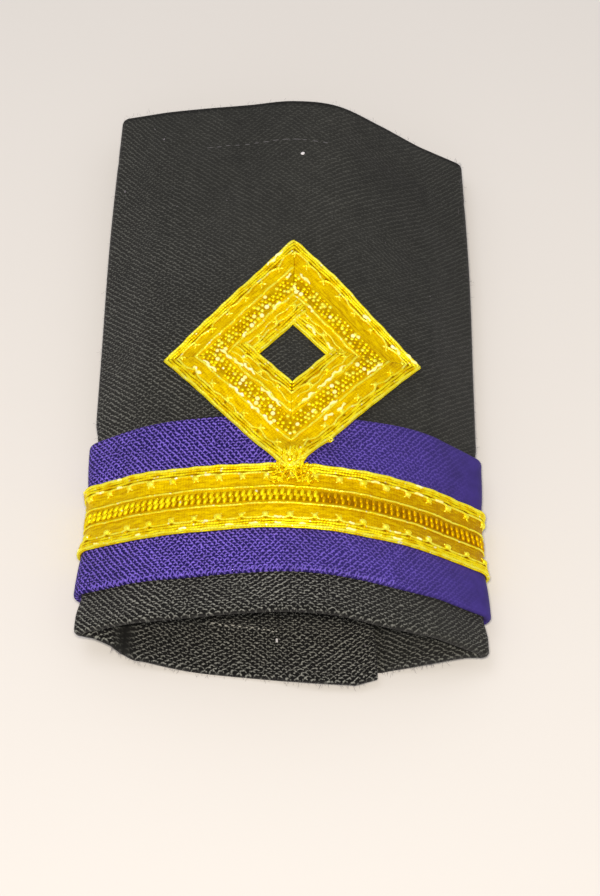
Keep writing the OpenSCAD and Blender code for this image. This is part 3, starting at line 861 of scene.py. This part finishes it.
def lay_edges(bits, place, ends, loose):
    """Cords, couched thread and knots along both edges; loose is how far the couching wanders"""
    for k, at in enumerate(CORDS):
        for q0, side in both_sides(at):
            start, end = ends(q0)
            p = np.linspace(start - 0.02, end + 0.02, max(6, int((end - start) / THREAD_STEP)))
            scallop = (0.04 + 0.03 * k) * np.abs(np.sin(math.pi * (p - KNOT_FIRST) / KNOT_STEP))
            wobble = 0.03 * np.sin(p * 1.9 + q0 * 5)
            threads(bits, place, p, q0 + side * scallop + wobble, CORD_HIGH,
                    CORD_R if k else 1.2 * CORD_R, sides=8, twist=0.06, pitch=1.7,
                    finish=CORD if k else BRIGHT)
    for q0, side in both_sides(LOW_CORD_AT):
        start, end = ends(q0)
        p = np.linspace(start, end, max(6, int((end - start) / THREAD_STEP)))
        threads(bits, place, p, q0 + 0.02 * np.sin(p * 1.9 + q0 * 5), LOW_CORD_HIGH, LOW_CORD_R, finish=CORD)
    for q0, side in both_sides(COUCH_AT):
        start, end = ends(q0)
        p = np.arange(start, end, 0.15)
        dip = np.exp(-(from_knot(p) / 0.42) ** 2) * (1 - 2.5 * loose)
        wander = loose * (np.sin(p * 0.9 + q0) + 0.6 * np.sin(p * 2.3 + 2 * q0))
        threads(bits, place, p, q0 + side * (0.20 * dip + np.maximum(wander, -0.1)),
                CORD_HIGH + 0.1 * dip, COUCH_R, finish=BRIGHT)
        knots = np.arange(KNOT_FIRST, end - 0.2, KNOT_STEP)
        knots = knots[knots > start + 0.3]
        if not len(knots):
            continue
        strew(bits, place, knot, knots, q0 + side * 0.5, KNOT_HIGH, rng.uniform(-0.5, 0.5, len(knots)),
              rng.uniform(0.75, 1.2, len(knots)) * (1 - 2 * loose), BRIGHT)
        # Short spurs from each knot, two toward the middle and two back to the couched thread
        f = np.linspace(0, 1, 5)
        for reach, away in ((-0.5, 0.55), (0.5, 0.55), (-0.4, -0.45), (0.4, -0.45)):
            spur_p = knots[:, None] + reach * f + rng.normal(0, 0.06, (len(knots), 1))
            spread = rng.uniform(0.4, 1.0, (len(knots), 1))
            threads(bits, place, spur_p, q0 + side * (0.55 + away * f ** 0.7 * spread),
                    CORD_HIGH - 0.1 * f, SPUR_R, finish=BRIGHT)


def lay_ridge(bits, place, ends, q0, wander, thick=1.0):
    """A bright thread that sinks into the ground now and then"""
    start, end = ends(q0)
    p = np.arange(start, end, THREAD_STEP)
    side = wander * (np.sin(p * 1.1 + q0) + 0.5 * np.sin(p * 2.9 + q0 * 3))
    gap = 0.14 * ease((np.sin(p * TURN / 2.9 + q0) - 0.93) / 0.05)
    threads(bits, place, p, q0 + side, RIDGE_HIGH - gap, RIDGE_R * thick, finish=BRIGHT)


def lay_braid(bits, place, ends, tilt):
    """Two rows of slanting links, staggered at the left, drawn out into whole bars to the right, made darker
    there as painted shade
    """
    start, end = ends(LACE_W / 2)
    at = np.arange(start + 0.4, end - 0.4, LINK_STEP)
    lean = np.interp(at, [start, end], tilt)
    stagger = LINK_STEP / 2 * (1 - ease((at - end * 0.5) / (end * 0.2)))
    # Past this place the bars take the darker gold as painted shade
    painted_shade_end = at > end * 0.55
    for row, shift in ((LINK_OUT, 0 * at), (-LINK_OUT, stagger)):
        p = at + shift - np.sin(lean) * row
        for chosen, size, finish in ((~painted_shade_end, 1.0, BRAID), (painted_shade_end, 0.92, DARK_GOLD)):
            strew(bits, place, link, p[chosen], LACE_W / 2 + row, BRAID_HIGH, lean[chosen], size, finish)


def lay_beads(bits, place, ends, shining):
    """The looser braid of the diamond: a lattice of small bright loops, a few of them pale painted glints"""
    for k, q0 in enumerate(np.arange(-0.84, 0.85, 0.56)):
        start, end = ends(LACE_W / 2 + q0)
        p = np.arange(start + 0.2 + (k % 2) * BEAD_STEP / 2, end - 0.2, BEAD_STEP)
        p = p[rng.random(len(p)) < 0.93]
        p, q, high = (v + rng.normal(0, loose, len(p))
                      for v, loose in ((p, 0.07), (LACE_W / 2 + q0, 0.06), (BRAID_HIGH, 0.04)))
        # Painted glints on a few beads
        shine = rng.random(len(p)) < shining
        pale = ~shine & (rng.random(len(p)) < 0.3)
        plain = ~shine & ~pale
        for chosen, finish, size in ((plain, BRAID, 1.0), (pale, BRIGHT, 1.05), (shine, PAINTED_GLINT, 1.1)):
            if chosen.any():
                turn, scale = (rng.uniform(low, top, chosen.sum()) for low, top in ((-0.9, 0.9), (0.8, 1.1)))
                strew(bits, place, bead, p[chosen], q[chosen], high[chosen], turn, scale * size, finish)


stripe_row = stripe_columns[int((STRIPE_FROM + LACE_W / 2) / SLEEVE_L * (ROWS - 1))]
stripe_steps = np.arange(-STRIPE_REACH, STRIPE_REACH + 0.01, TABLE_STEP)
stripe_left = np.interp(COLUMN["stripe"], stripe_row, stripe_steps)
stripe_right = np.interp(COLUMN["stripe_end"], stripe_row, stripe_steps)
stripe_length = stripe_right - stripe_left


def on_stripe(p, q, h):
    """The lace is pressed thinner where it turns round the folds"""
    pressed = 0.75 * ease((5 - p) / 4) + 0.75 * ease((p - stripe_length + 5) / 4)
    return stripe_point(stripe_left + p, q, h * (1 - pressed) - 0.2 * pressed)


def stripe_ends(q):
    return 0.0 * q, stripe_length + 0.0 * q


ribbon_bits, thread_bits = Bits(), Bits()
lay_ground(ribbon_bits, on_stripe, stripe_ends)
lay_edges(thread_bits, on_stripe, stripe_ends, 0.0)
for ridge in (RIDGE_AT, LACE_W - RIDGE_AT):
    lay_ridge(thread_bits, on_stripe, stripe_ends, ridge, 0.03)
lay_braid(thread_bits, on_stripe, stripe_ends, (-0.95, 0.5))
# Bright dashes where the couching and the outer cords catch the light: place across, share that do
for p in np.arange(3.0, stripe_length - 4, KNOT_STEP):
    for q0, share in ((LACE_W - COUCH_AT, 0.55), (COUCH_AT, 0.25), (LACE_W - 0.3, 0.2), (0.5, 0.35)):
        if rng.random() < share:
            half = rng.uniform(0.6, 1.6) / 2
            run = np.linspace(p - half, p + half, 7)
            threads(thread_bits, on_stripe, run, q0 + 0.06 * np.sin(run * 5),
                    DASH_HIGH + 0.04 * np.sin(run * 9), DASH_R, finish=PAINTED_GLINT)
stripe = ribbon_bits.piece("gold_stripe_lace", [stripe_ground])
stripe_threads = thread_bits.piece("gold_stripe_threads", lace_threads)

# Diamond: four runs of the same lace, each turned over the next at a mitred corner
half_across, half_along = DIAMOND_ACROSS / 2, DIAMOND_ALONG / 2
corners = np.array([(0, half_along), (half_across, 0), (0, -half_along), (-half_across, 0)])
side_length = math.hypot(half_across, half_along)
inner_share = 1 - LACE_W * side_length / (half_across * half_along)
# Pulled a little narrower at the hole by its turned corners, and laid where the photo shows it
INNER_SQUEEZE = 0.98
LAID_ACROSS, LAID_ALONG = -0.1, 0.35
# How far each run's inner edge reaches past its start and end corner, over the next run
OVERLAPS = ((0.0, 0.0), (1.3, 0.0), (0.0, 2.3), (0.0, 2.4))
OVERLAP_LIFT = 0.24
# Ridges: place across, wander, thickness; the first run has no second one
DIAMOND_RIDGES = ((6.55, 0.12, 1.35), (3.4, 0.06, 1.2), (7.6, 0.15, 0.8))
# Share of each run's beads that are painted glints
SHINING = (0.05, 0.10, 0.10, 0.07)
# Painted glints: pale foil laid where each run glints, drawn this much longer: place along it, place across
# it, length
GLINT_STRETCH = (1.6, 2.0, 2.1, 1.6)
GLINTS = (
    ((6.1, 3.6, 1.3), (6.4, 5.7, 0.9), (10.4, 6.6, 0.7), (12.8, 8.7, 1.1), (16.0, 1.0, 0.9),
     (16.6, 8.7, 1.2), (22.2, 1.1, 1.2), (24.6, 0.4, 1.3)),
    ((6.0, 3.8, 1.6), (10.4, 6.8, 1.5), (13.0, 6.7, 1.3), (14.1, 2.4, 0.8), (15.2, 3.7, 1.5),
     (16.1, 6.6, 1.1), (16.5, 2.7, 0.8)),
    ((8.2, 3.5, 0.9), (10.5, 6.2, 1.9), (10.9, 3.5, 1.2), (14.5, 3.6, 1.4), (15.9, 7.2, 1.2),
     (17.8, 6.8, 0.9), (19.9, 6.5, 1.2), (20.1, 3.7, 1.3), (20.9, 2.0, 0.8)),
    ((10.1, 6.3, 0.6), (16.3, 6.3, 1.0), (21.0, 4.0, 0.6), (22.1, 0.4, 2.0)))
ribbon_bits, thread_bits = Bits(), Bits()
for i in range(4):
    first, last = corners[i], corners[(i + 1) % 4]
    ahead_run = (last - first) / side_length
    inward = np.array([ahead_run[1], -ahead_run[0]])
    cuts = np.array([-(first @ ahead_run), last @ ahead_run]) * (1 - inner_share) / LACE_W

    def run_ends(q, cuts=cuts, over=OVERLAPS[i]):
        past = ease((q - 6) / 4)
        return cuts[0] * q - over[0] * past, side_length - cuts[1] * q + over[1] * past

    def on_run(p, q, h, first=first, ahead_run=ahead_run, inward=inward, cuts=cuts, ends=run_ends,
               over=OVERLAPS[i]):
        start, end = ends(q)
        if over[0]:
            h = h + OVERLAP_LIFT * ease((start + 4 - p) / 3)
        if over[1]:
            h = h + OVERLAP_LIFT * ease((p - end + 4) / 3)
        along = (p - cuts[0] * q) / (side_length - cuts.sum() * q)
        p = p - (1 - INNER_SQUEEZE) * q * mix(cuts[0], -cuts[1], along)
        x, y = (first[k] + ahead_run[k] * p + inward[k] * q * INNER_SQUEEZE for k in (0, 1))
        # The far corner is a little rounded
        rounded = np.maximum(y - half_along + 0.9, 0) ** 2 / 3.6
        return diamond_point(DIAMOND_X + LAID_ACROSS + x, DIAMOND_S + LAID_ALONG + y - rounded, h)
    lay_ground(ribbon_bits, on_run, run_ends)
    lay_edges(thread_bits, on_run, run_ends, 0.2)
    for k, ridge in enumerate(DIAMOND_RIDGES):
        if i or k != 1:
            lay_ridge(thread_bits, on_run, run_ends, *ridge)
    lay_beads(thread_bits, on_run, run_ends, SHINING[i])
    for p, q, long in GLINTS[i]:
        half = long * GLINT_STRETCH[i] / 2
        run = np.linspace(p - half, p + half, 9)
        threads(thread_bits, on_run, run, q + 0.13 * np.sin(run * 4.1 + q) + rng.normal(0, 0.04, 9),
                GLINT_HIGH, 0.20 + 0.08 * np.sin(run * 5.3), finish=PAINTED_GLINT)


def on_tip(p, q, h):
    return diamond_point(DIAMOND_X + p, DIAMOND_S + q, h)


# Dense stitches that hold the diamond's near tip to the stripe, none of them past its sides
TIP_STITCHES, TIP_NEAR, TIP_FAR, STRIPE_EDGE, DULL_FROM = 210, -20.2, -15.6, -17.4, -18
for k in range(TIP_STITCHES):
    y = rng.uniform(TIP_NEAR, TIP_FAR)
    on_lace = ease((-17 - y) / 2)
    x = 0.5 + rng.uniform(-1, 1) * mix(1.5, 3.0, on_lace)
    long, turn = rng.uniform(0.6, 1.7), rng.normal(math.pi / 2 - 0.22 * x, mix(0.3, 0.9, on_lace))
    f = np.linspace(-0.5, 0.5, 6)
    bend = rng.uniform(-0.3, 0.3) * long * (1 - 4 * f ** 2)
    tip_x = x + long * f * math.cos(turn) + bend * math.sin(turn)
    tip_y = y + long * f * math.sin(turn) - bend * math.cos(turn)
    from_edge = half_along - np.abs(tip_y) - np.abs(tip_x) * half_along / half_across
    if ((tip_y > STRIPE_EDGE) & (from_edge < -0.1)).any():
        continue
    high = mix(-0.08, 0.44, ease((from_edge + 1.0) / 1.3)) + 0.02 * np.cos(f * math.pi)
    high = high + rng.uniform(-0.02, 0.02)
    mixed = (0.3, 0.3, 0.3, 0.1) if y > DULL_FROM else (0.3, 0.35, 0.05, 0.3)
    threads(thread_bits, on_tip, tip_x, tip_y, high, rng.uniform(0.10, 0.14),
            finish=int(rng.choice((CORD, BRAID, BRIGHT, DARK_GOLD), p=mixed)))
# A frayed end beside them
for k in range(6):
    f = np.linspace(0, 1, 6)
    x = 4.9 + rng.uniform(-0.4, 0.4) + f * rng.uniform(0.3, 0.8)
    y = -13.2 + rng.uniform(-0.5, 0.5) + 0.3 * np.sin(f * rng.uniform(1, 4) + k)
    threads(thread_bits, on_tip, x, y, 0.25 + 0.25 * np.sin(f * 3), 0.12, finish=(CORD, BRIGHT)[k % 2])
diamond = ribbon_bits.piece("gold_diamond_lace", [diamond_ground])
diamond_threads = thread_bits.piece("gold_diamond_threads", lace_threads)

# Hem stitches: a line on the far part of the front, and one inside the mouth in a paler thread, painted light
# against the shade there
hem_bits, fuzz_bits = Bits(), Bits()


def on_back(p, q, h):
    """The inside of the back: p is a column of the sleeve, q along it, h up from the cloth"""
    return cloth_point(q / SLEEVE_L, p, -CLOTH_T / 2 - HEM_T - h)


stitch_arch = np.sin(np.linspace(0, math.pi, 5))
FAR_STITCHES_FROM, NEAR_STITCHES_FROM = -13, 18.6
for a in np.arange(FAR_STITCHES_FROM, 5, 1.45):
    run = np.linspace(a, a + rng.uniform(0.6, 1.3), 5)
    line = SLEEVE_L - HEM_W - 0.15 + 0.35 * ease((a - FAR_STITCHES_FROM) / 10) + rng.normal(0, 0.03)
    threads(hem_bits, front_point, run, line, rng.uniform(-0.05, 0.02) + 0.03 * stitch_arch, 0.05)
for column in np.arange(NEAR_STITCHES_FROM, 27.5, 0.75):
    run = np.linspace(column, column + rng.uniform(0.25, 0.5), 5)
    line = HEM_W - 0.75 + 0.03 * (column - NEAR_STITCHES_FROM) + rng.normal(0, 0.05)
    threads(hem_bits, on_back, run, line, 0.03 + 0.06 * stitch_arch, 0.085, finish=1)
hem_stitches = hem_bits.piece("hem_stitches", [grey_thread, painted_light_thread])

# Loose fibres along the folds and edges, 0.1 mm and longer
FIBRE_R = 0.013


def loose_fibres(count, longest, pick):
    """pick(number) gives each fibre's place and the way that it stands out"""
    root, out = pick(count)
    f = np.linspace(0, 1, 5)[None, :, None]
    curl = rng.normal(0, 0.5, (count, 1, 3))
    length = rng.uniform(0.1, longest, (count, 1, 1))
    x, y, z = np.moveaxis(root[:, None] + length * (out[:, None] * f + curl * f ** 2), -1, 0)
    threads(fuzz_bits, lambda x, y, z: np.stack([x, y, z], -1), x, y, np.maximum(z, 0.03), FIBRE_R, sides=4)


def past_band(first, last, near_s=BAND_TO):
    def pick(count):
        column = rng.uniform(first, last, count)
        t = rng.uniform(near_s, SLEEVE_L, count) / SLEEVE_L
        here = cloth_point(t, column, CLOTH_T / 2 - 0.05)
        out = cloth_point(t, column, CLOTH_T / 2 + 1) - cloth_point(t, column, CLOTH_T / 2)
        return here, out + rng.normal(0, 0.4, (count, 3))
    return pick


def at_mouth(first, last, s, way):
    def pick(count):
        column = rng.uniform(first, last, count)
        here = cloth_point(np.full(count, s / SLEEVE_L), column, rng.uniform(-0.5, 0.5, count))
        return here, np.array([0, way, 0.1]) + rng.normal(0, 0.4, (count, 3))
    return pick


fold_left, fold_right = COLUMN["stripe"], COLUMN["stripe_end"]
loose_fibres(130, 0.5, past_band(fold_left + 2, fold_left + 20))
loose_fibres(170, 0.5, past_band(fold_right - 20, fold_right - 2))
loose_fibres(150, 0.45, at_mouth(fold_left + 6, fold_right - 6, SLEEVE_L, 1))
loose_fibres(120, 0.45, at_mouth(2, COLUMN["band"], 0.0, -1))
loose_fibres(50, 0.5, at_mouth(COLUMN["band_end"], LAST - 12, 0.0, -1))
loose_fibres(220, 0.35, past_band(fold_left + 14, fold_right - 14, BAND_TO + 1))

# Lint: small flattened tufts, the two big ones white
tuft = shaped_grain((0.34, 0.24, 0.12), 0.9)
# Place across, place along, size, turn
LINT = ((front_point, 1.6, 74.2, 0.95, -0.6), (on_back, 18.75, 5.5, 1.1, 0.0), (on_back, 1.9, 5.0, 0.5, 0.0),
        (front_point, -19.8, 78.6, 0.5, 0.8), (front_point, -21.4, 80.8, 0.35, 0.0),
        (front_point, -26.0, 70.6, 0.5, 1.2), (front_point, -9.5, 66.4, 0.3, 0.4),
        (front_point, 14.0, 62.0, 0.25, 1.0), (front_point, -17.0, 66.0, 0.25, 0.3),
        (front_point, 21.0, 55.0, 0.25, 0.7))
for place, p, q, size, turn in LINT:
    across = 1.0 if place is front_point else 0.35
    for k in range(3):
        shift = rng.normal(0, 0.09 * size, 3) * (across, 1, 0.3)
        strew(fuzz_bits, place, tuft, [p + shift[0]], q + shift[1], 0.02 + shift[2],
              turn + rng.normal(0, 0.4), size * rng.uniform(0.6, 0.9), int(size > 0.8))
fuzz = fuzz_bits.piece("loose_fibres", [fuzz_grey, lint_white])

# What each piece is, for the frame
for piece in (sleeve, band, stripe, stripe_threads, diamond, diamond_threads, hem_stitches, fuzz):
    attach(piece, "root")
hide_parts("cloth_sleeve")
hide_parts("purple_band")
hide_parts("gold_stripe")
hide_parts("gold_diamond")
